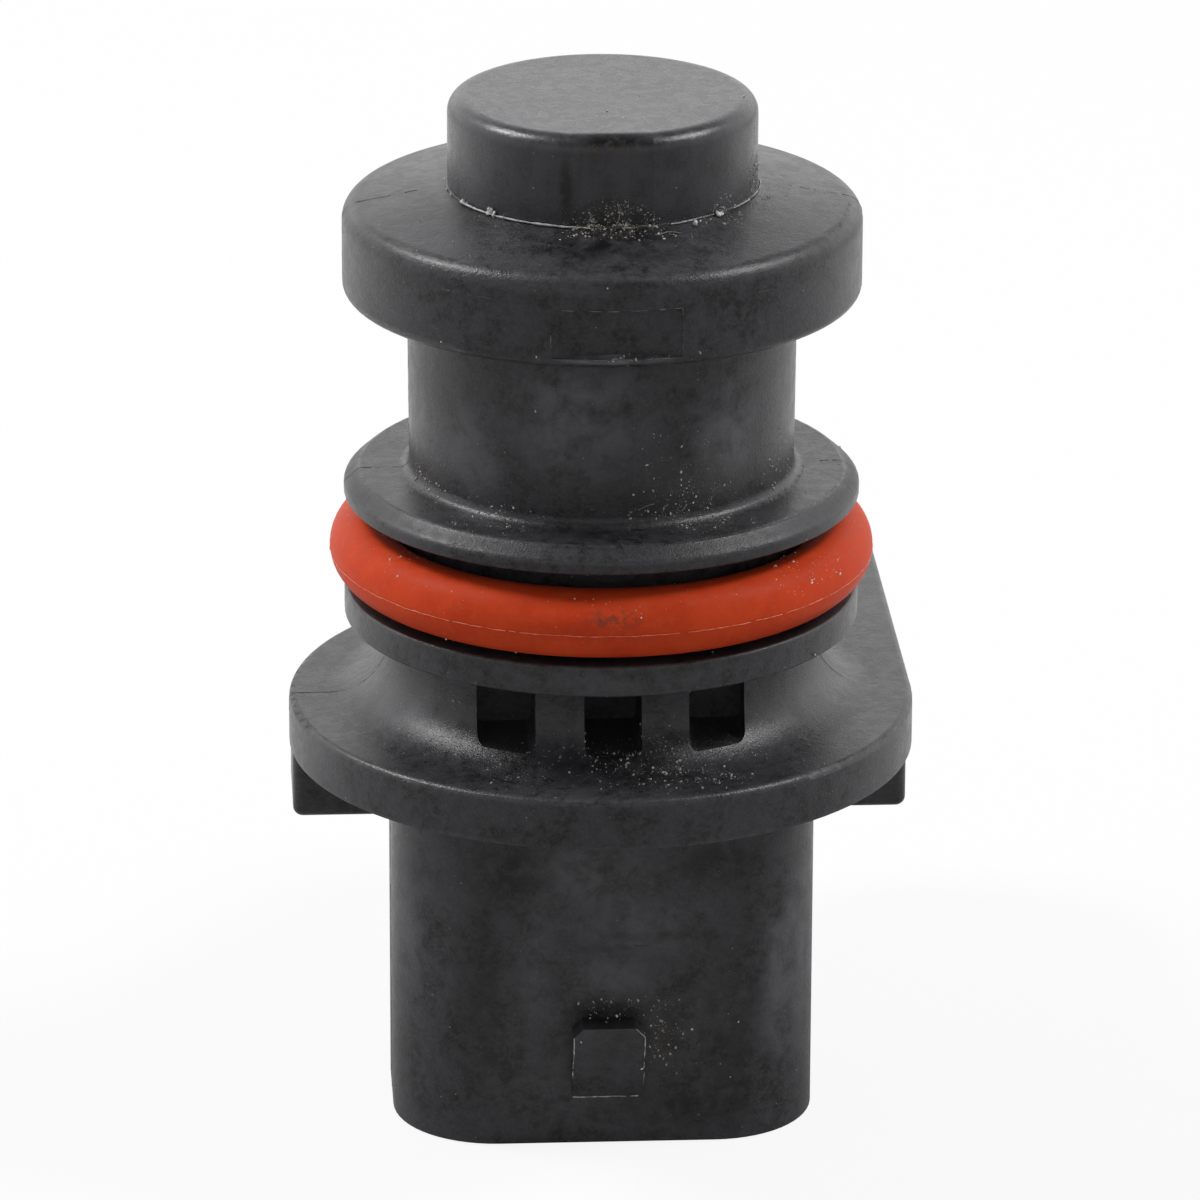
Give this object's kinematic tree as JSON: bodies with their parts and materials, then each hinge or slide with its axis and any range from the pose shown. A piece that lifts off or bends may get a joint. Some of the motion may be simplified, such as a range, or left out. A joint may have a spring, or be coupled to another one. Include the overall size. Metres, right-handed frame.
{
  "type": "camshaft position sensor",
  "caption": "Plug-in camshaft position sensor: black moulded spigot with a round tip, a red O-ring, a flange with an offset bolt ear and a male connector shroud.",
  "frame": {"origin": "centre of the connector's rim, on the axis of the round spigot", "axes": "+Z along the spigot to the sensing tip, -Y to the front with the latch nose, +Y to the mounting ear"},
  "size_m": [0.0306, 0.0446, 0.0514],
  "materials": {
    "housing_plastic": "satin moulded black",
    "cap_plastic": "satin moulded black",
    "seal_rubber": "orange-red, satin",
    "sleeve_steel": "zinc plated",
    "holder_plastic": "moulded",
    "carrier_plastic": "moulded",
    "chip_epoxy": "moulded epoxy",
    "soft_iron": "bare",
    "magnet_nickel": "nickel plated",
    "terminal_tin": "tin plated",
    "lead_tin": "tin plated",
    "capacitor_ceramic": "ceramic"
  },
  "bodies": {
    "root": {"housing": "housing_plastic", "sensing_cap": "cap_plastic", "o_ring": "seal_rubber", "mounting_sleeve": "sleeve_steel", "terminal_holder": "holder_plastic", "chip_carrier": "carrier_plastic", "hall_chip": "chip_epoxy", "pole_piece": "soft_iron", "bias_magnet": "magnet_nickel", "supply_terminal": "terminal_tin", "signal_terminal": "terminal_tin", "ground_terminal": "terminal_tin", "supply_chip_lead": "lead_tin", "signal_chip_lead": "lead_tin", "ground_chip_lead": "lead_tin", "supply_capacitor": "capacitor_ceramic", "ground_capacitor": "capacitor_ceramic"}
  },
  "joints": []
}
